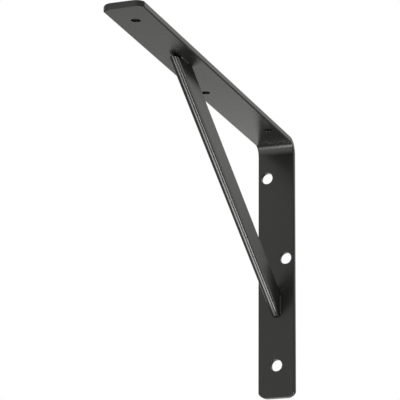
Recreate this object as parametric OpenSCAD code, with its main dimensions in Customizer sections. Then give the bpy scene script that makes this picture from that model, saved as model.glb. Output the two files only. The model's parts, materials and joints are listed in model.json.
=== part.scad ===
// Shelf bracket: one flat bar bent to a right angle, and a folded sheet brace welded across the corner.
// X runs across the bar, the wall is at +Y, and the shelf arm reaches out towards -Y.
// The origin is on the face that lies against the wall, mid-width, level with the upper wall screw.

/* [Flat bar] */
// Width of the bar
bar_w = 25.4; // [22:0.1:40]
// Thickness of the bar
bar_t = 4; // [2.5:0.1:5]
// Rounding along the long edges of the bar
edge_r = 0.8; // [0.3:0.1:1.2]
// Inside radius of the bend
bend_r = 6.4; // [4:0.1:10]
// Radius on the corners at the free end of each arm
corner_r = 5.5; // [2:0.1:9]

/* [Arms] */
// Reach of the shelf arm, from the wall to its free end
shelf_len = 279.4; // [245:0.1:340]
// Height of the wall arm, from the top of the shelf arm to its free end
wall_len = 178.4; // [165:0.1:240]

/* [Wall screw holes] */
// Diameter of the wall screw holes
wall_hole_d = 8; // [6:0.1:9]
// Upper wall hole, down from the top of the shelf arm
wall_hole_1 = 26.2; // [20:0.1:40]
// Middle wall hole, down from the top of the shelf arm
wall_hole_2 = 83.3; // [60:0.1:95]
// Lower wall hole, up from the free end of the wall arm
wall_hole_end = 22; // [12:0.1:30]

/* [Shelf screw holes] */
// Diameter of the shelf screw holes
shelf_hole_d = 5.6; // [4:0.1:7]
// Inner shelf hole, out from the wall
shelf_hole_1 = 38.9; // [25:0.1:60]
// Middle shelf hole, out from the wall
shelf_hole_2 = 124.6; // [90:0.1:140]
// Outer shelf hole, in from the free end of the shelf arm
shelf_hole_end = 21.4; // [12:0.1:30]
// Centre of a staggered hole, in from the edge of the bar
hole_edge = 6.1; // [5.6:0.1:7]

/* [Brace] */
// Width across the folded brace, flank to flank
brace_w = 5.6; // [4:0.1:9]
// Depth of the brace, from its folded nose to its open edges
brace_d = 15.9; // [12:0.1:20]
// Thickness of the sheet the brace is folded from
brace_t = 1.2; // [0.8:0.1:1.6]
// Where the open edges of the brace meet the shelf arm, out from the wall
brace_out = 173.2; // [150:0.5:185]
// Where the open edges of the brace meet the wall arm, down from the top of the shelf arm
brace_down = 106.8; // [100:0.5:120]
// Length trimmed off the sharp tip of the nose where it meets the shelf arm
trim_shelf = 4.2; // [2:0.1:8]
// Length trimmed off the sharp tip of the nose where it meets the wall arm
trim_wall = 2; // [1:0.1:4]

/* [Welds] */
// Length of each weld bead
weld_len = 13; // [8:0.5:15]
// Leg of each weld bead
weld_leg = 1.6; // [1:0.1:2.5]

/* [Hidden] */
$fn = 72;

// Overshoot of a cutting solid past the face it cuts
past = 1;
// Outside radius of the bend, which is also how far its tangent lines lie from the corner
bend_out = bend_r + bar_t;
// Height of the top of the shelf arm above the origin
top_z = wall_hole_1;
// Distance of a staggered hole from the middle of the bar
stagger = bar_w / 2 - hole_edge;
// Holes of each arm as [across the bar, distance from the corner]; the two rows mirror each other about the bend
wall_holes = [[-stagger, wall_hole_1], [stagger, wall_hole_2], [0, wall_len - wall_hole_end]];
shelf_holes = [[stagger, shelf_hole_1], [-stagger, shelf_hole_2], [0, shelf_len - shelf_hole_end]];

// Slope of the brace below the shelf arm, and its length between the two arms along the open edges
brace_a = atan2(brace_down - bar_t, brace_out - bar_t);
brace_len = (brace_out - bar_t) / cos(brace_a);
// How far the nose would run past the open edges before it met each arm, along the brace
nose_run_shelf = brace_d / tan(brace_a);
nose_run_wall = brace_d * tan(brace_a);
// Where the trimmed nose ends, out from the wall and down from the top of the shelf arm
nose_out = brace_out + brace_d / sin(brace_a) - trim_shelf;
nose_down = brace_down + brace_d / cos(brace_a) - trim_wall;

// Section of the bar: its width along X, its thickness up from y = 0, and its long edges rounded
module bar_section() {
    side = bar_w / 2 - edge_r;
    translate([-side, 0]) square([2 * side, bar_t]);
    translate([-bar_w / 2, edge_r]) square([bar_w, bar_t - 2 * edge_r]);
    for (x = [-side, side], y = [edge_r, bar_t - edge_r]) translate([x, y]) circle(r = edge_r);
}

// Flat outline of one arm, from the bend's tangent line at y = 0 to its free end with rounded corners
module arm_outline(length) {
    side = bar_w / 2;
    translate([-side, 0]) square([bar_w, length - corner_r]);
    translate([corner_r - side, 0]) square([bar_w - 2 * corner_r, length]);
    for (s = [-1, 1]) translate([s * (side - corner_r), length - corner_r]) circle(r = corner_r);
}

// One straight arm, lying on z = 0: the bar's section cut to the outline
module arm(length) {
    intersection() {
        translate([0, 0, bar_t]) rotate([-90, 0, 0]) linear_extrude(length - bend_out) bar_section();
        linear_extrude(bar_t) arm_outline(length - bend_out);
    }
}

// The bend: the bar's section turned through a quarter circle about an axis along X
module bend() {
    translate([0, -bend_out, top_z - bend_out]) rotate([90, 0, 90])
        rotate_extrude(angle = 90) translate([bend_r, 0]) rotate(-90) bar_section();
}

module shelf_arm() {
    translate([0, -bend_out, top_z - bar_t]) rotate([0, 0, 180]) arm(shelf_len);
}

module wall_arm() {
    translate([0, -bar_t, top_z - bend_out]) rotate([-90, 0, 0]) arm(wall_len);
}

// Screw holes, drilled square through each arm
module drilled_holes() {
    drill = bar_t + 2 * past;
    for (h = wall_holes)
        translate([h[0], past, top_z - h[1]]) rotate([90, 0, 0]) cylinder(d = wall_hole_d, h = drill);
    for (h = shelf_holes)
        translate([h[0], -h[1], top_z - bar_t - past]) cylinder(d = shelf_hole_d, h = drill);
}

module bent_bar() {
    color("#242426") difference() {
        union() {
            shelf_arm();
            bend();
            wall_arm();
        }
        drilled_holes();
    }
}

// Section of the brace: a sheet folded tight round its nose, with its open edges on y = 0
module brace_section() {
    difference() {
        round_nosed_strip(brace_w, brace_d, 0);
        round_nosed_strip(brace_w - 2 * brace_t, brace_d - brace_t, past);
    }
}

// Strip of the given width that ends in a half circle at y = tip and starts at y = -below
module round_nosed_strip(width, tip, below) {
    translate([0, tip - width / 2]) circle(d = width);
    translate([-width / 2, -below]) square([width, tip - width / 2 + below]);
}

// The space between the arms that the brace may fill, with the two sharp tips of the nose left out
module brace_room() {
    translate([-brace_w, -bar_t, top_z - bar_t]) rotate([180, 0, 0])
        cube([2 * brace_w, nose_out - bar_t, nose_down - bar_t]);
}

module brace() {
    color("#242426") intersection() {
        translate([0, -brace_out, top_z - bar_t]) rotate([-90 - brace_a, 0, 0])
            translate([0, 0, -nose_run_shelf - past])
                linear_extrude(brace_len + nose_run_shelf + nose_run_wall + 2 * past) brace_section();
        brace_room();
    }
}

// Weld bead lying along +Y in the corner between two faces, with legs on +X and -Z and rounded ends
module weld_bead() {
    run = weld_len - 2 * weld_leg;
    intersection() {
        union() {
            rotate([-90, 0, 0]) cylinder(r = weld_leg, h = run);
            sphere(r = weld_leg);
            translate([0, run, 0]) sphere(r = weld_leg);
        }
        translate([0, -weld_len, -weld_len]) cube([weld_len, 3 * weld_len, weld_len]);
    }
}

// Bead on one flank of the brace at the shelf arm, midway along the joint
module weld_on_shelf(side) {
    joint_mid = (brace_out + nose_out) / 2;
    color("#242426") translate([0, weld_leg - weld_len / 2 - joint_mid, top_z - bar_t])
        mirror([side < 0 ? 1 : 0, 0, 0]) translate([brace_w / 2, 0, 0]) weld_bead();
}

// Bead on one flank of the brace at the wall arm, midway along the joint
module weld_on_wall(side) {
    joint_mid = (brace_down + nose_down) / 2;
    color("#242426") translate([0, -bar_t, top_z - joint_mid - weld_len / 2 + weld_leg])
        mirror([side < 0 ? 1 : 0, 0, 0]) translate([brace_w / 2, 0, 0])
            mirror([0, 1, -1]) weld_bead();
}

module weld_shelf_left() { weld_on_shelf(-1); }
module weld_shelf_right() { weld_on_shelf(1); }
module weld_wall_left() { weld_on_wall(-1); }
module weld_wall_right() { weld_on_wall(1); }

bent_bar();
brace();
weld_shelf_left();
weld_shelf_right();
weld_wall_left();
weld_wall_right();
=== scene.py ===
# %% [markdown]
# # A black steel shelf bracket
# The bracket is a flat bar bent to a right angle, with a folded sheet brace welded across the corner and a
# black satin coat over everything. The CAD model comes in as a fixed frame, in metres: +X across the bar,
# the wall at +Y, +Z up, and the origin on the wall face. What can be read off it, such as the reach of the
# arms and the places of the holes, is read off it. The other sizes are repeated here by name.

# %% Load the frame
import json
import math

import bpy
import numpy as np
from mathutils import Matrix, Vector


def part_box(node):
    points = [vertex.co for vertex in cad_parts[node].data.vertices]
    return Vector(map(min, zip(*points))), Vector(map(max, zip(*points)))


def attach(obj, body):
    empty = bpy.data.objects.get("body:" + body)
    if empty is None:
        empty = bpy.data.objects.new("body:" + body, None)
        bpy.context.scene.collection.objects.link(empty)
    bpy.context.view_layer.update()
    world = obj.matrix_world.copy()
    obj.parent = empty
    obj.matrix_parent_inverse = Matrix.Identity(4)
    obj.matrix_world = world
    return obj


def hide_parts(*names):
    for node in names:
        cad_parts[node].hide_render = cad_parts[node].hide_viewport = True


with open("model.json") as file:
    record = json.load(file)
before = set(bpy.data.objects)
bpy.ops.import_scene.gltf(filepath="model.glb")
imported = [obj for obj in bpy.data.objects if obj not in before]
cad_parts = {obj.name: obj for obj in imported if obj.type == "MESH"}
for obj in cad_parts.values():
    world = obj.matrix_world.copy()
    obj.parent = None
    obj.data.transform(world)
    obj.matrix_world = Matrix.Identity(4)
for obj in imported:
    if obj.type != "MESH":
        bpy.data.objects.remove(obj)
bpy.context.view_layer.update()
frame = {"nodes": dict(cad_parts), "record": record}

# %% [markdown]
# ## Camera
# The photograph looks up at the bracket from the front, a little to its right, with a long lens. A camera
# could be aimed by eye. Here it stands where the straight edges, the screw holes and the two ends of the
# bar line up with the photograph, and its turn is built from three angles in degrees: yaw about the
# vertical, pitch above the horizon, and a slight roll.

# %% Camera
# Sensor in millimetres, focal length and width of the photograph in its pixels, place in metres and turn
# in degrees
sensor_width, focal_pixels, photo_pixels = 36, 2164.09, 400
camera_place = (0.44938, -1.34185, -0.42544)
camera_turn = (20.66, 16.17, -0.51)


def look(yaw, pitch, roll):
    """Camera turn: forward from yaw and pitch, then right and down turned about forward by the roll."""
    yaw, pitch, roll = (math.radians(angle) for angle in (yaw, pitch, roll))
    forward = Vector((-math.sin(yaw) * math.cos(pitch), math.cos(yaw) * math.cos(pitch), math.sin(pitch)))
    level = Vector((math.cos(yaw), math.sin(yaw), 0))
    down = forward.cross(level)
    right = level * math.cos(roll) + down * math.sin(roll)
    down = down * math.cos(roll) - level * math.sin(roll)
    return Matrix((right, -down, -forward)).transposed()


camera = bpy.data.objects.new("camera", bpy.data.cameras.new("camera"))
bpy.context.scene.collection.objects.link(camera)
bpy.context.scene.camera = camera
camera.data.sensor_width = sensor_width
camera.data.lens = sensor_width * focal_pixels / photo_pixels
camera.data.clip_start, camera.data.clip_end = 0.05, 30
camera.matrix_world = Matrix.Translation(camera_place) @ look(*camera_turn).to_4x4()
print("camera", round(camera.location.length, 3), "m away, lens", round(camera.data.lens, 1), "mm")

# %% [markdown]
# ## Writing materials as sums
# A material could be wired node by node, which is long to read. A small class wraps a socket instead, so
# that a pattern reads as arithmetic. `+`, `-`, `*` add Math nodes, and every other node comes from `node`,
# which sets a node's options first and its sockets after.

# %% Shader maths
class Value:
    """A number socket of a node tree, with + - * that add Math nodes."""

    def __init__(self, tree, socket):
        self.tree, self.socket = tree, socket

    def _math(self, operation, a, b):
        return self.tree.node("ShaderNodeMath", {"operation": operation}, {0: a, 1: b})[0]

    def __add__(self, other):
        return self._math("ADD", self, other)

    def __radd__(self, other):
        return self._math("ADD", other, self)

    def __sub__(self, other):
        return self._math("SUBTRACT", self, other)

    def __rsub__(self, other):
        return self._math("SUBTRACT", other, self)

    def __mul__(self, other):
        return self._math("MULTIPLY", self, other)

    def __rmul__(self, other):
        return self._math("MULTIPLY", other, self)


class Node:
    """A node whose outputs are read by name or number, as values."""

    def __init__(self, tree, made):
        self.tree, self.made = tree, made

    def __getitem__(self, key):
        return Value(self.tree, self.made.outputs[key])


class Tree:
    """The nodes of one material or of the world."""

    def __init__(self, owner):
        owner.use_nodes = True
        self.nodes, self.links = owner.node_tree.nodes, owner.node_tree.links
        self.nodes.clear()

    def node(self, kind, options=None, sockets=None):
        """Adds a node, sets its options, then gives its sockets their numbers or links."""
        made = self.nodes.new(kind)
        for key, value in (options or {}).items():
            setattr(made, key, value)
        for key, value in (sockets or {}).items():
            if isinstance(value, Value):
                self.links.new(value.socket, made.inputs[key])
            else:
                made.inputs[key].default_value = value
        return Node(self, made)


def material(name):
    """A new material, and the tree to write it in."""
    made = bpy.data.materials.new(name)
    return made, Tree(made)


print("made Value, Node and Tree")

# %% [markdown]
# ## The coat
# The real bracket is powder coated: near black, satin, smooth enough to mirror its own arms softly, with
# the fine waviness of a baked powder. A plain black would do from far off. A bump of about a millimetre
# and a half carries the waviness up close, and the roughness wanders a little so that broad reflections
# aren't perfectly even.

# %% Black coat
near_black = (0.0094, 0.0094, 0.0085, 1)
waves_per_metre, clouds_per_metre = 620.0, 70.0

coat, t = material("black_powder_coat")
place = t.node("ShaderNodeTexCoord")["Object"]
wave = t.node("ShaderNodeTexNoise", {},
              {"Vector": place, "Scale": waves_per_metre, "Detail": 1.0, "Roughness": 0.4})[0]
cloud = t.node("ShaderNodeTexNoise", {},
               {"Vector": place, "Scale": clouds_per_metre, "Detail": 2.0, "Roughness": 0.5})[0]
relief = t.node("ShaderNodeBump", {}, {"Strength": 0.006, "Distance": 0.0002, "Height": wave})[0]
surface = t.node("ShaderNodeBsdfPrincipled", {}, {
    "Base Color": near_black, "Roughness": 0.22 + 0.06 * cloud, "IOR": 1.5, "Normal": relief})
t.node("ShaderNodeOutputMaterial", {}, {"Surface": surface[0]})
print("coat of", len(t.nodes), "nodes, with waves of", round(1000 / waves_per_metre, 1), "mm")

# %% [markdown]
# ## Surfaces from whole arrays
# A bracket could be modelled from boxes with bevels. Its real outlines are arcs, slants and rounded edges
# that run into one another, so every piece below is made of patches instead. A patch is a grid of points
# with a grid of normals, each worked out for the whole grid at once. Its faces are turned outward by the
# normals, so that a patch may be written in whichever direction is easiest.

# %% Patches
def unit(v):
    """The same directions, each of length 1."""
    return v / np.maximum(np.linalg.norm(v, axis=-1, keepdims=True), 1e-12)


def facing(points, outward):
    """Normals of a grid: the cross product of its tangents, turned to the side that outward points to."""
    normal = unit(np.cross(np.gradient(points, axis=0), np.gradient(points, axis=1)))
    return np.where((normal * outward).sum(-1, keepdims=True) < 0, -normal, normal)


def outward_quads(points, normals, patches):
    """The four corners of every face of every grid, wound so that each face looks as its normals point."""
    quads, first = [], 0
    for p, n in patches:
        rows, columns = p.shape[:2]
        index = first + np.arange(rows * columns).reshape(rows, columns)
        corners = np.stack([index[:-1, :-1], index[1:, :-1], index[1:, 1:], index[:-1, 1:]], -1)
        quads.append(corners.reshape(-1, 4))
        first += rows * columns
    quads = np.concatenate(quads)
    across = np.cross(points[quads[:, 2]] - points[quads[:, 0]], points[quads[:, 3]] - points[quads[:, 1]])
    inward = (across * normals[quads].sum(1)).sum(1) < 0
    quads[inward] = quads[inward][:, ::-1]
    return quads


square = np.stack([*np.meshgrid([0.0, 1.0], [0.0, 1.0]), np.zeros((2, 2))], -1)
print("a level square faces", facing(square, np.array([0, 0, 1]))[0, 0] + 0)

# %% [markdown]
# ## Patches to closed pieces
# A real piece has no gaps in its skin, and neither may its mesh. Merging by distance in Blender would join
# the patches too, but it would drop the normals. `solid` joins them where their points meet, keeps the
# normals that were worked out, and counts that each edge has exactly two faces, so that the piece is
# closed.

# %% Closed pieces
# Points in the same cell of a grid this fine, in mm, are joined. The cells are shifted off round sizes.
join_cell, cell_shift = 0.004, 0.2137


def is_closed(corners, keep):
    """True if every edge has exactly two faces. keep marks the corners a face still has after joining."""
    after = np.where(np.roll(keep, -1, axis=1), np.roll(corners, -1, axis=1), np.roll(corners, -2, axis=1))
    edges = np.sort(np.stack([corners[keep], after[keep]], -1), axis=1)
    return bool((np.unique(edges, axis=0, return_counts=True)[1] == 2).all())


def solid(name, patches, node):
    """Joins (points, normals) grids, in millimetres, into one closed mesh that stands for the CAD node."""
    points = np.concatenate([p.reshape(-1, 3) for p, n in patches])
    normals = np.concatenate([n.reshape(-1, 3) for p, n in patches])
    quads = outward_quads(points, normals, patches)
    cells = np.round(points / join_cell + cell_shift)
    _, kept, same = np.unique(cells, axis=0, return_index=True, return_inverse=True)
    corners = same.reshape(-1)[quads]
    keep = corners != np.roll(corners, -1, axis=1)
    corners, quads, keep = (a[keep.sum(1) > 2] for a in (corners, quads, keep))
    faces = [[v for v, k in zip(f, m) if k] for f, m in zip(corners.tolist(), keep.tolist())]
    mesh = bpy.data.meshes.new(name)
    mesh.from_pydata((points[kept] / 1000).tolist(), [], faces)
    mesh.shade_smooth()
    mesh.normals_split_custom_set(unit(normals[quads[keep]]).tolist())
    mesh.materials.append(coat)
    made = bpy.data.objects.new(name, mesh)
    bpy.context.scene.collection.objects.link(made)
    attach(made, "root")
    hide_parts(node)
    print(f"{name}: {len(mesh.polygons)} faces, closed {is_closed(corners, keep)}")


print("points are joined in cells of", join_cell, "mm")

# %% [markdown]
# ## The bar: cut flat, then bent
# On the real bracket this is one piece of flat bar with rolled, slightly rounded edges. Its ends are
# cropped round, six holes are punched while it is flat, and then it is bent round a former. The surface is
# made in the same order, because holes and edges are simple while the strip is flat. `u` runs across the
# bar, `s` along it, and `h` through its thickness from the inside of the bend, all in millimetres. `bent`
# then turns the flat strip through its quarter circle.

# %% Flat strip and bend
# Thickness of the bar and inside radius of its bend. All sizes of the pieces are in millimetres.
thick, inner_radius = 4.0, 6.4
bar_low, bar_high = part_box("bent_bar")
half = (bar_high.x - bar_low.x) * 500
shelf_run = -bar_low.y * 1000 - thick - inner_radius
wall_run = (bar_high.z - bar_low.z) * 1000 - thick - inner_radius
bend_run = (inner_radius + thick / 2) * math.pi / 2
strip = shelf_run + bend_run + wall_run
axis_z = bar_high.z * 1000 - thick - inner_radius


def bent(u, s, h, nu, ns, nh):
    """Points and normals of the strip after bending.

    It runs straight, then makes a quarter turn about an axis along X, at the inner radius plus h, then runs
    straight again. The normals turn with it."""
    u, s, h, nu, ns, nh = np.broadcast_arrays(u, s, h, nu, ns, nh)
    turn = np.clip((s - shelf_run) / bend_run, 0, 1) * math.pi / 2
    from_axis = inner_radius + h
    y = -thick - inner_radius + np.minimum(s - shelf_run, 0) + from_axis * np.sin(turn)
    z = axis_z - np.maximum(s - shelf_run - bend_run, 0) + from_axis * np.cos(turn)
    ny = ns * np.cos(turn) + nh * np.sin(turn)
    nz = nh * np.cos(turn) - ns * np.sin(turn)
    return np.stack([u, y, z], -1), np.stack([nu, ny, nz], -1)


def both_faces(u, s):
    """The same flat grid on the inside face of the strip and on the outside face."""
    return [bent(u, s, 0, 0, 0, -1), bent(u, s, thick, 0, 0, 1)]


print("strip", round(2 * half, 1), "x", round(strip, 1), "mm, and", round(bend_run, 1), "mm of it bends")

# %% [markdown]
# ## The bar: its edges and its holes
# The real bar's long edges are rounded by the rolling mill, and the coat softens the rims of the punched
# holes. A Bevel modifier would round them all alike. Here each edge is carried from one face to the other
# with its own radius. Round a hole, a panel grows from the hole's rim out to a closed line, and the rolled
# edge goes through the hole. The hole places and sizes come from the model's mounts.

# %% Rolled edges and holes
# Radius of the long edges and of the hole rims
edge, hole_rim = 0.8, 0.35
# Rings of a panel, from the hole's rim at 0 to the panel's closed line at 1
rings = np.array([0, 0.1, 0.35, 1])[:, None]
arc_points = 6


def rolled_edge(u, s, nu, ns, radius, outline=None):
    """From one face to the other round an edge: a quarter circle, a straight side and a quarter circle.

    (u, s) is the line where the face stops and the rounding starts, and (nu, ns) points out of the metal.
    The outermost line is one radius further out, unless an outline is given."""
    phi = np.concatenate([np.linspace(0, 90, arc_points), np.linspace(90, 180, arc_points)])
    phi = np.radians(phi)[:, None]
    low = (np.arange(2 * arc_points) < arc_points)[:, None]
    h = np.where(low, radius * (1 - np.cos(phi)), thick - radius * (1 + np.cos(phi)))
    out_u, out_s = outline or (u + radius * nu, s + radius * ns)
    return bent(u + np.sin(phi) * (out_u - u), s + np.sin(phi) * (out_s - s), h,
                np.sin(phi) * nu, np.sin(phi) * ns, -np.cos(phi))


def panel_round(hole, u, s):
    """Both faces from a hole's rim out to the closed line (u, s), and the rolled edge through the hole."""
    across, along, radius = hole
    angle = np.arctan2(s - along, u - across)
    rim_u = across + (radius + hole_rim) * np.cos(angle)
    rim_s = along + (radius + hole_rim) * np.sin(angle)
    faces = both_faces(rim_u + (u - rim_u) * rings, rim_s + (s - rim_s) * rings)
    return faces + [rolled_edge(rim_u, rim_s, -np.cos(angle), -np.sin(angle), hole_rim)]


holes = []
for mount in frame["record"]["mounts"]:
    if mount["kind"] == "bore":
        x, y, z = (1000 * c for c in mount["pos_m"])
        on_shelf = mount["name"].startswith("shelf")
        along = shelf_run + y + thick + inner_radius if on_shelf else shelf_run + bend_run + axis_z - z
        holes.append((x, along, mount["dims"]["r_mm"]))
holes.sort(key=lambda hole: hole[1])
print("holes along the strip at", [round(along, 1) for across, along, radius in holes], "mm")

# %% [markdown]
# ## The bar: its panels
# Between two holes the real bar is plain. One grid can't go round a hole and stay even, so the strip is
# divided: each hole has a rectangular panel of its own, from side to side, and plain panels join one
# hole's panel to the next. A plain panel has a station every few degrees where it crosses the bend.

# %% Middle and plain panels
panel_steps, bend_steps = 18, 18


def middle_panel(hole, reach):
    """A hole's rectangular panel, with its first and last rows of u for the panels next to it.

    The closed line is where rays from the hole's centre meet the sides, in even steps of angle from one
    corner to the next."""
    across, along, radius = hole
    wide = half - edge
    corners = [math.atan2(-reach, -wide - across), math.atan2(-reach, wide - across),
               math.atan2(reach, wide - across), math.atan2(reach, -wide - across)]
    corners.append(corners[0] + 2 * math.pi)
    angle = np.interp(np.arange(4 * panel_steps + 1), np.arange(5) * panel_steps, corners)
    out = 1 / np.max([np.cos(angle) / (wide - across), -np.cos(angle) / (wide + across),
                      np.sin(angle) / reach, -np.sin(angle) / reach], axis=0)
    u, s = across + out * np.cos(angle), along + out * np.sin(angle)
    right, left = s[panel_steps:2 * panel_steps + 1], s[3 * panel_steps:]
    patches = panel_round(hole, u, s)
    patches += [rolled_edge(wide, right, 1, 0, edge), rolled_edge(-wide, left, -1, 0, edge)]
    return patches, u[:panel_steps + 1], u[2 * panel_steps:3 * panel_steps + 1][::-1]


def plain_panel(from_u, to_u, from_s, to_s):
    """A panel without a hole: its rows of u change evenly from the first to the last."""
    bend_stops = np.linspace(shelf_run, shelf_run + bend_run, bend_steps + 1)
    s = np.array([from_s, *[s for s in bend_stops if from_s < s < to_s], to_s])[:, None]
    part = (s - from_s) / (to_s - from_s)
    u = from_u * (1 - part) + to_u * part
    wide = half - edge
    return both_faces(u, s) + [rolled_edge(wide, s.T, 1, 0, edge), rolled_edge(-wide, s.T, -1, 0, edge)]


print("a hole's panel has", 4 * panel_steps, "points round it, and the bend has", bend_steps, "steps")

# %% [markdown]
# ## The bar: its cropped ends
# Each free end of the real bar looks cropped by a rounded tool. Each corner is an arc that leaves the end
# line smoothly and meets the side of the bar at a slight angle, and the rolled edge thins out on the way,
# because the end is cut and not rolled. A plain rounded rectangle misses that angle, so the outline is
# worked out as a straight side, an arc and a flat, and is mirrored for the other half.

# %% Cropped ends
# Radius of the corner arcs, the angle at which they meet the sides, and the rounding along the end line
crop, meet, end_edge = 6.6, math.radians(28), 0.25
side_steps, crop_steps = 11, 12
# Places on the end line, from the middle of the bar at 0 to where an arc begins at 1
flat_places = np.array([0.85, 0.6, 0.35, 0.1])


def end_line(inside):
    """The end from side to side, in rows: face u and s, outline u and s, normal u and s, and edge radius.

    The outline's arc has the radius crop. The line where the face stops lies inside it by the edge radius,
    which falls from edge at the side to end_edge on the end line as the normal turns along the bar."""
    turn = np.linspace(math.pi + meet, 1.5 * math.pi, crop_steps + 1)
    radius = edge + (end_edge - edge) * (-np.sin(turn) - math.sin(meet)) / (1 - math.sin(meet))
    centre = crop * math.cos(meet) - half
    face_from = math.pi + math.acos((centre + half - edge) / (crop - edge))
    face_turn = np.linspace(face_from, 1.5 * math.pi, crop_steps + 1)
    inner = crop - radius
    arc = np.array([centre + inner * np.cos(face_turn), crop + inner * np.sin(face_turn),
                    centre + crop * np.cos(turn), crop + crop * np.sin(turn),
                    np.cos(turn), np.sin(turn), radius])
    face_s, outline_s = (np.linspace(inside, arc[row, 0], side_steps + 1)[:-1] for row in (1, 3))
    side = np.array(np.broadcast_arrays(edge - half, face_s, -half, outline_s, -1, 0, edge))
    flat_u = centre * flat_places
    flat = np.array(np.broadcast_arrays(flat_u, end_edge, flat_u, 0, 0, -1, end_edge))
    left = np.concatenate([side, arc, flat], axis=1)
    mirror = np.array([-1, 1, -1, 1, -1, 1, 1])[:, None]
    return np.concatenate([left, mirror * left[:, ::-1]], axis=1)


def end_panel(hole, reach, flip):
    """The panel round the hole near a cropped end, and its row of u on the side away from the end.

    It runs from reach past the hole to the end's own outline. It is worked out at the start of the strip,
    and flip turns it round to the other end."""
    across, along, radius = hole
    along = strip - along if flip else along
    inside = along + reach
    u, s, out_u, out_s, nu, ns, radii = end_line(inside)
    corner = math.atan2(reach, half - edge)
    back_u = reach / np.tan(np.linspace(corner, math.pi - corner, panel_steps + 1))
    loop_u, loop_s = np.concatenate([u, back_u[1:]]), np.concatenate([s, np.full(panel_steps, inside)])
    if flip:
        loop_s, s, out_s, ns, along = strip - loop_s, strip - s, strip - out_s, -ns, strip - along
    patches = panel_round((across, along, radius), loop_u, loop_s)
    first_corner, last_corner = side_steps, len(u) - 1 - side_steps
    for i, j, side in ((0, first_corner, -1), (first_corner, last_corner, 0), (last_corner, len(u) - 1, 1)):
        run = slice(i, j + 1)
        outward = (side, 0) if side else (nu[run], ns[run])
        patches.append(rolled_edge(u[run], s[run], *outward, radii[run], (out_u[run], out_s[run])))
    return patches, back_u[::-1]


print("corner arcs of", crop, "mm meet the sides", round(crop * (1 - math.sin(meet)), 1), "mm from the end")

# %% [markdown]
# ## The bar: joined up
# The panels are laid one after another from the free end of the shelf arm to the free end of the wall arm,
# and each plain panel picks up the rows of points of its two neighbours. One surface is made rather than
# several, as the real bar is one piece with no seam.

# %% Bar
end_reach, hole_reach = 8, 7.5
patches, row = end_panel(holes[0], end_reach, False)
last, last_row = end_panel(holes[-1], end_reach, True)
patches += last
at = holes[0][1] + end_reach
for hole in holes[1:-1]:
    round_hole, start, stop = middle_panel(hole, hole_reach)
    patches += round_hole + plain_panel(row, start, at, hole[1] - hole_reach)
    row, at = stop, hole[1] + hole_reach
patches += plain_panel(row, last_row, at, holes[-1][1] - end_reach)
solid("bar_skin", patches, "bent_bar")

# %% [markdown]
# ## The brace: where it runs
# The real brace is a strip of sheet folded lengthwise round a thin former, so its section is a narrow U
# with a round nose, open towards the corner. It could be a U that is extruded and then cut with Booleans.
# Here every point is placed by three numbers instead: across the brace, its depth from the open edges
# towards the nose, and its place along the slope. A cut is then just where each line of the section starts
# or ends.

# %% Slope of the brace
# Where the open edges meet the two arms: out from the wall, and down from the top of the shelf arm
brace_out, brace_down = 173.2, 106.8
arm_under, arm_front = axis_z + inner_radius, -thick
reach, drop = brace_out - thick, brace_down - thick
slope = math.atan2(drop, reach)
sine, cosine = math.sin(slope), math.cos(slope)
open_normal = [0, sine, cosine]


def on_brace(across, depth, along):
    """A point of the brace, with along measured from where the open edges meet the shelf arm.

    Along the slope it goes towards the wall by the cosine and down by the sine. For its depth it goes away
    from the wall by the sine and down by the cosine."""
    return np.stack([across + 0 * along, arm_front - reach + along * cosine - depth * sine,
                     arm_under - along * sine - depth * cosine], -1)


print("slope", round(math.degrees(slope), 2), "degrees, open edges", round(reach / cosine, 1), "mm long")

# %% [markdown]
# ## The brace: its section
# The section of the real brace is one sheet, so it is drawn as two lines, the outside and the inside of
# the sheet: a flank, a half circle round the nose, and the other flank. A solid bar would look the same
# from the front, but the fold is open at the back. Each cut end has a crease where it changes direction,
# and each line has a point of its own there, so that the creases stay sharp.

# %% Section of the folded sheet
# Width across the fold, depth from the open edges to the nose, and thickness of the sheet
brace_wide, brace_deep, sheet = 5.6, 15.9, 1.2
# Where the wedge under the shelf arm starts and how fast it opens, and the length cropped at the wall arm
wedge_out, wedge_rise, wall_crop = 181.0, 0.10, 2.0
fold_start = brace_deep - brace_wide / 2
shelf_crease = (wedge_out - brace_out) * sine
wall_crease = brace_deep - wall_crop * cosine
# Steps along a flank and round half of the fold, and the step of each at which a crease falls
flank_steps, flank_crease = 8, 5
fold_steps, fold_crease = 16, 6
last_point = 2 * (flank_steps + fold_steps)


def sheet_line(half_width):
    """Across, depth and normal of each point of one line, from open edge to open edge.

    A flank runs straight to where the fold starts, and the fold is a half circle of radius half_width."""
    crease_turn = math.asin((wall_crease - fold_start) / half_width)
    turn = np.interp(np.arange(fold_steps + 1), [0, fold_crease, fold_steps], [0, crease_turn, math.pi / 2])
    turn = np.concatenate([turn, math.pi - turn[-2::-1]])
    flank = np.interp(np.arange(flank_steps), [0, flank_crease, flank_steps], [0, shelf_crease, fold_start])
    side = np.ones(flank_steps)
    across = np.concatenate([half_width * side, half_width * np.cos(turn), -half_width * side])
    depth = np.concatenate([flank, fold_start + half_width * np.sin(turn), flank[::-1]])
    sideways = np.concatenate([side, np.cos(turn), -side])
    nose = np.concatenate([0 * side, np.sin(turn), 0 * side])
    return across, depth, np.stack([sideways, -nose * sine, -nose * cosine], -1)


outside, inside = sheet_line(brace_wide / 2), sheet_line(brace_wide / 2 - sheet)
across, depth, normal = sheet_line((brace_wide - sheet) / 2)
print("sheet", round(np.hypot(np.diff(across), np.diff(depth)).sum(), 1), "mm wide before it is folded")

# %% [markdown]
# ## The brace: its two cuts
# The real brace is cut on the slant to sit on both arms. At the wall arm its sharp tip is cropped square.
# At the shelf arm the tip stands off the arm by a thin wedge, which shows as a dark line. Both cuts could
# be planes that trim a longer piece. A formula for the place of the cut at each depth leaves nothing to
# trim.

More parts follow.
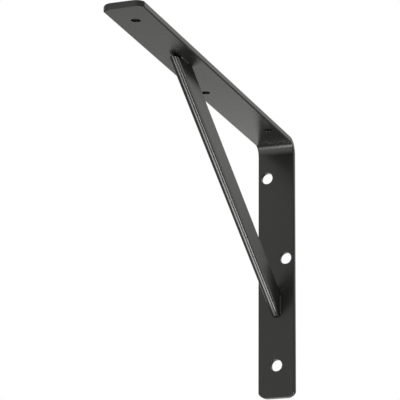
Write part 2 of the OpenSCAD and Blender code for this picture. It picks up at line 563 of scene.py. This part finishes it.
# %% Where each line starts and ends
def first_cut(depth):
    """Start along the slope: on the shelf arm, or on the wedge below it, whichever comes later.

    The wedge opens beyond wedge_out, and is as high as wedge_rise times how far beyond it is. at_edges is
    the height that this gives back where the open edges meet the arm, which is less than nothing."""
    at_edges = wedge_rise * (brace_out - wedge_out)
    off_arm = (at_edges - depth * (cosine - wedge_rise * sine)) / (sine + wedge_rise * cosine)
    return np.maximum(-depth / math.tan(slope), off_arm)


def last_cut(depth):
    """End along the slope: on the wall arm, or at the height of the cropped tip, whichever comes sooner."""
    on_arm = (reach + depth * sine) / cosine
    cropped = (drop + brace_deep / cosine - wall_crop - depth * cosine) / sine
    return np.minimum(on_arm, cropped)


print("nose", round(float(last_cut(brace_deep) - first_cut(brace_deep)), 1), "mm long")

# %% [markdown]
# ## The brace: its cut ends
# A cut edge of coated sheet is never sharp. Each cut end goes over a small rounding from the outside of
# the sheet, across its thickness, and over another rounding to the inside. A Bevel modifier would also
# round the creases and the open edges, so the roundings are patches of their own.

# %% Cut ends
cut_edge, round_points = 0.2, 5


def cut_end(cut, way, crease, on_arm, tip):
    """The patches of one cut end: two quarter circles and the flat between them.

    way is 1 at the start of the slope and -1 at its end. crease is the point where the cut changes
    direction, and on_arm and tip are the cut's normals before and after it."""
    a, b = (on_brace(line[0], line[1], cut(line[1])) for line in (outside, inside))
    run = np.array([0, cosine, -sine]) * cut_edge * way
    over = unit(b - a) * cut_edge
    phi = np.radians(np.linspace(0, 90, round_points))[:, None, None]
    first = a + run * (1 - np.sin(phi)) + over * (1 - np.cos(phi))
    second = b + run * (1 - np.sin(phi)) - over * (1 - np.cos(phi))
    made = []
    for i, j, normal in ((0, crease, on_arm), (crease, last_point - crease, tip),
                         (last_point - crease, last_point, on_arm)):
        part = slice(i, j + 1)
        face = np.sin(phi) * np.array(normal, float)
        flat = np.stack([first[-1, part], second[-1, part]])
        made += [(first[:, part], unit(np.cos(phi) * outside[2][part] + face)),
                 (second[:, part], unit(face - np.cos(phi) * inside[2][part])),
                 (flat, np.broadcast_to(face[-1], flat.shape))]
    for i in (0, -1):
        turned = np.concatenate([first[:, i], second[::-1, i]])
        straight = turned[[0] * round_points + [-1] * round_points]
        corner = np.stack([turned, straight])
        made.append((corner, np.broadcast_to(open_normal, corner.shape)))
    return made


print("cut ends rounded by", cut_edge, "mm")

# %% [markdown]
# ## The brace: joined up
# The outside and the inside of the sheet run between the two cuts, two narrow strips close the open edges,
# and the cut ends close the rest. One closed surface with a real hollow is chosen over a Solidify
# modifier, because the cut ends need their own slants.

# %% Brace
slope_steps = 29
step = np.linspace(0, 1, slope_steps + 1)[:, None]
patches = []
for (across, depth, normal), way in ((outside, 1), (inside, -1)):
    start, stop = first_cut(depth) + cut_edge, last_cut(depth) - cut_edge
    skin = on_brace(across, depth, start * (1 - step) + stop * step)
    patches.append((skin, np.broadcast_to(way * normal, skin.shape)))
outer_skin, inner_skin = patches[0][0], patches[1][0]
for i in (0, -1):
    open_edge = np.stack([outer_skin[:, i], inner_skin[:, i]])
    patches.append((open_edge, np.broadcast_to(open_normal, open_edge.shape)))
patches += cut_end(first_cut, 1, flank_crease, (0, 0, 1), unit(np.array([0, -wedge_rise, 1])))
patches += cut_end(last_cut, -1, flank_steps + fold_crease, (0, 1, 0), (0, 0, -1))
solid("brace_skin", patches, "brace")

# %% [markdown]
# ## The weld beads
# Each joint has a short bead on either side of the brace. A real bead is laid as a row of small
# overlapping pools, so it is a fillet whose surface rises and falls in curved ripples and thins out at
# both ends, and the black coat softens it. A row of small spheres would look lumpy. The bead is one grid
# instead: its columns go round the fillet from one toe to the other, and its rows go along the joint.

# %% Weld beads
# Legs of the fillet, on the arm and on the flank of the brace
arm_leg, flank_leg = 1.15, 0.92
# Height of the ripples as a share of the legs, their pitch, and how far they bow
ripple, ripple_pitch, bow = 0.03, 1.9, 1.3
bead_rows, bead_columns = 97, 11


def bead(node):
    """A rippled fillet in the box of its CAD node, with v from -1 to 1 along the joint.

    Round the fillet it is a quarter ellipse with the two legs. Its size is the square root of 1 - v to the
    fourth, with a ripple on it: a bowed cosine along the joint, which fades towards both toes."""
    low, high = (np.array(corner) * 1000 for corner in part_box(node))
    side = math.copysign(1, low[0] + high[0])
    arm, along = (2, 1) if "shelf" in node else (1, 2)
    axes = np.eye(3)
    off, away = side * axes[0], -axes[arm]
    corner = np.where(axes[along] > 0, (low + high) / 2, high)
    corner[0] = side * brace_wide / 2  # the middle of the line where the flank meets the arm
    length = high[along] - low[along]
    v, turn = np.linspace(-1, 1, bead_rows)[:, None], np.linspace(0, math.pi / 2, bead_columns)
    bowed = np.cos(math.pi * v * length / ripple_pitch + bow * np.cos(2 * turn))
    size = np.sqrt(1 - v ** 4) * (1 - ripple + ripple * np.sin(2 * turn) * bowed)
    ellipse = arm_leg * np.cos(turn)[:, None] * off + flank_leg * np.sin(turn)[:, None] * away
    middle = corner + axes[along] * (v * length / 2)[..., None]
    top = middle + ellipse * size[..., None]
    ends = np.abs(v)[..., None] == 1
    normal = np.where(ends, np.sign(v)[..., None] * axes[along], facing(top, off + away))
    core = np.broadcast_to(middle, top.shape)[:, :1]
    patches = [(top, normal)]
    for i, back in ((0, -away), (-1, -off)):
        grid = np.concatenate([core, top[:, [i]]], 1)
        patches.append((grid, np.broadcast_to(back, grid.shape)))
    solid(node + "_bead", patches, node)


for node in frame["nodes"]:
    if node.startswith("weld"):
        bead(node)

# %% [markdown]
# ## The floor
# The photograph's ground is plain white. A backdrop could curve up behind the bracket, but the white world
# does that without a shape. So there is only a pale floor, well below the bracket, which takes its shadow.
# To the camera it also glows a little, so that it reads as white, and it is clear to a camera that looks
# up through it. The coat doesn't mirror it, because the world below already gives the coat its softer
# studio.

# %% Floor
# Depth below the bracket and half the width, in metres, and how much it glows to the camera
floor_drop, floor_half, floor_glow = 0.45, 4.0, 0.45
floor_z = bar_low.z - floor_drop
floor_corners = [(x * floor_half, y * floor_half, floor_z) for x, y in ((-1, -1), (1, -1), (1, 1), (-1, 1))]

paper, t = material("pale_floor")
rays = t.node("ShaderNodeLightPath")
matte = t.node("ShaderNodeBsdfDiffuse", {}, {"Color": (0.55, 0.55, 0.55, 1)})
glow = t.node("ShaderNodeEmission", {},
              {"Color": (1, 1, 1, 1), "Strength": floor_glow * rays["Is Camera Ray"]})
lit = t.node("ShaderNodeAddShader", {}, {0: matte[0], 1: glow[0]})
from_below = t.node("ShaderNodeNewGeometry")["Backfacing"]
clear = t.node("ShaderNodeBsdfTransparent")
both = t.node("ShaderNodeMixShader", {}, {0: from_below * rays["Is Camera Ray"], 1: lit[0], 2: clear[0]})
t.node("ShaderNodeOutputMaterial", {}, {"Surface": both[0]})

floor = bpy.data.objects.new("floor", bpy.data.meshes.new("floor"))
floor.data.from_pydata(floor_corners, [], [(0, 1, 2, 3)])
floor.data.materials.append(paper)
bpy.context.scene.collection.objects.link(floor)
floor.visible_glossy = False
print("floor", floor_drop, "m below the bracket")

# %% [markdown]
# ## The studio around it
# A black satin coat has little colour of its own, so what its faces mirror gives them their greys. An even
# world would leave them all alike. The world is white to the camera, while the coat sees a softer studio:
# a low even level, a brighter ceiling, and soft glows in the directions that its faces mirror. Each glow
# is a smooth step in the cosine of the angle from its direction. A picture of a real studio would do the
# same, but glows can be set one by one.

# %% World
# Level all round, the level that the ceiling adds, and the heights, 1 being straight up, where it fades in
even_level, ceiling_level = 0.26, 0.45
ceiling_from, ceiling_full = 0.2, 0.45
# Each glow: its level, its direction, the angle in degrees within which it is full, the angle at which it
# is gone, and what mirrors it
glows = [
    (0.60, (-0.31, -0.90, -0.30), 35, 60),  # the front of the wall arm
    (0.80, (-0.30, -0.60, -0.75), 10, 45),  # the inside of the bend
    (0.47, (-0.20, 0.97, -0.10), 8, 30),    # the underside of the shelf arm
    (0.35, (0.34, 0.90, 0.60), 14, 19),     # the right flank of the brace and the side of the bar
    (0.55, (0.60, 0.78, 0.13), 6, 15),      # the flank, where it turns into the nose
    (1.40, (0.76, 0.63, -0.03), 4, 12),     # the nose, next to the flank
    (1.60, (0.86, 0.48, -0.17), 6, 12),     # the nose, next to its bright lines
    (-0.13, (0.30, 0.90, -0.33), 6, 22),    # a dark one: the edge between the underside and the side
]
coat_tint = (1, 1, 0.955, 1)

world = bpy.data.worlds.new("studio")
bpy.context.scene.world = world
t = Tree(world)
toward = t.node("ShaderNodeTexCoord")["Generated"]
height = t.node("ShaderNodeSeparateXYZ", {}, {0: toward})["Z"]


def smooth_step(value, low, high):
    """0 below low, 1 above high, and a smooth S between them."""
    return t.node("ShaderNodeMapRange", {"interpolation_type": "SMOOTHSTEP"},
                  {"Value": value, 1: low, 2: high})[0]


def glow_round(direction, full, gone):
    """1 within `full` degrees of a direction, easing to 0 at `gone` degrees, by the cosine of the angle."""
    cosine_off = t.node("ShaderNodeVectorMath", {"operation": "DOT_PRODUCT"},
                        {0: toward, 1: Vector(direction).normalized()})["Value"]
    return smooth_step(cosine_off, math.cos(math.radians(gone)), math.cos(math.radians(full)))


room = even_level + ceiling_level * smooth_step(height, ceiling_from, ceiling_full)
for level, direction, full, gone in glows:
    room = room + level * glow_round(direction, full, gone)
seen = t.node("ShaderNodeLightPath")["Is Camera Ray"]
tint = t.node("ShaderNodeMix", {"data_type": "RGBA"}, {0: seen, 6: coat_tint, 7: (1, 1, 1, 1)})[2]
soft = t.node("ShaderNodeBackground", {}, {"Color": tint, "Strength": room * (1 - seen) + seen})
t.node("ShaderNodeOutputWorld", {}, {"Surface": soft[0]})
bpy.context.scene.view_settings.view_transform = "Standard"
print("studio of", len(glows), "glows, in", len(t.nodes), "nodes")

# %% [markdown]
# ## Lamps
# The nose of the real brace shows a pair of bright lines, as it does when it mirrors two soft boxes, so
# two boxes lie below the bracket where the nose finds them. A board behind brightens the underside of the
# shelf arm towards the bend, and a box above lights the top faces, which only other views show. The boxes
# could be bright patches of the world. Area lamps are chosen because they stand at a real distance, so
# that their reflections change along the brace.

# %% Lamps
# How far the two boxes lie below the origin, in metres
box_drop = 0.42


def soft_box(name, place, normal, along, size, level):
    """A flat lamp at place, facing normal, size[0] long in the direction along and size[1] across.

    Its energy is its area times pi times its level, so that level is its brightness at any size."""
    lamp = bpy.data.lights.new(name, "AREA")
    lamp.shape, lamp.size, lamp.size_y = "RECTANGLE", size[0], size[1]
    lamp.energy = level * math.pi * size[0] * size[1]
    made = bpy.data.objects.new(name, lamp)
    back = -Vector(normal).normalized()
    long = Vector(along)
    long = (long - back * long.dot(back)).normalized()
    turn = Matrix((long, back.cross(long), back)).transposed()
    made.matrix_world = Matrix.Translation(place) @ turn.to_4x4()
    made.visible_camera = False
    bpy.context.scene.collection.objects.link(made)
    print(name, size, "m, level", level)


soft_box("box_below", (-0.05, -0.055, -box_drop), (0, 0, 1), (1, 0, 0), (0.17, 0.24), 8.8)
soft_box("box_right", (0.305, 0.037, -box_drop), (0, 0, 1), (-0.123, 0.167, 0), (0.34, 0.12), 14.5)
soft_box("board_behind", (-0.35, 0.40, 0.13), (0, -1, 0), (1, 0, 0), (0.6, 0.5), 0.5)
soft_box("box_above", (-0.3, -0.3, 0.9), (0.3, 0.2, -0.9), (1, 0, 0), (0.9, 0.9), 1.5)
